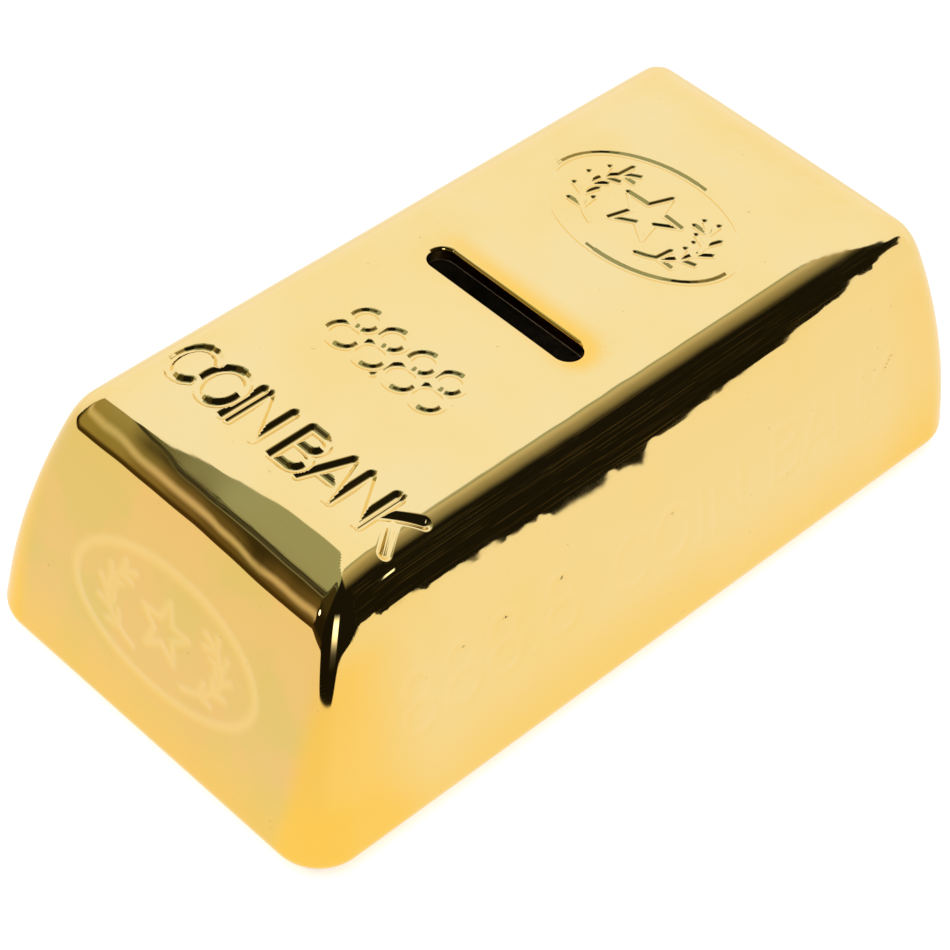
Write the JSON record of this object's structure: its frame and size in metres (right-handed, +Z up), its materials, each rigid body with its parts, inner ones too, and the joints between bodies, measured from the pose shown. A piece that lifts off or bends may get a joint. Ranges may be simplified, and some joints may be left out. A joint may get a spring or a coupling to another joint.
{
  "type": "money box",
  "caption": "Hollow gold-glazed ceramic money box shaped as a tapered bar, with a coin slot in the top and a soft stopper with a pull tab in the base.",
  "frame": {"origin": "on the table under the middle of the bar", "axes": "+X across the bar, +Y along the bar away from its near end, +Z up through the coin slot"},
  "size_m": [0.0902, 0.1758, 0.0584],
  "materials": {
    "gold_glaze": "mirror gold over a smooth glaze",
    "soft_plastic": "satin, slightly translucent soft PVC",
    "pad": "matte"
  },
  "bodies": {
    "bar": {"ceramic_body": "gold_glaze", "foot_pad_1": "pad", "foot_pad_2": "pad", "foot_pad_3": "pad", "foot_pad_4": "pad"},
    "bung": {"stopper": "soft_plastic"},
    "tab": {"pull_tab": "soft_plastic"}
  },
  "joints": [
    {"name": "stopper_pull", "type": "slide", "parent": "bar", "child": "bung", "axis": [0, 0, -1], "range_m": [0, 0.03]},
    {"name": "tab_flip", "type": "hinge", "parent": "bung", "child": "tab", "pos_m": [0, -0.0111, 0.00298], "axis": [-1, 0, 0], "range_deg": [0, 90], "stiffness_Nm_per_rad": 0.002}
  ]
}
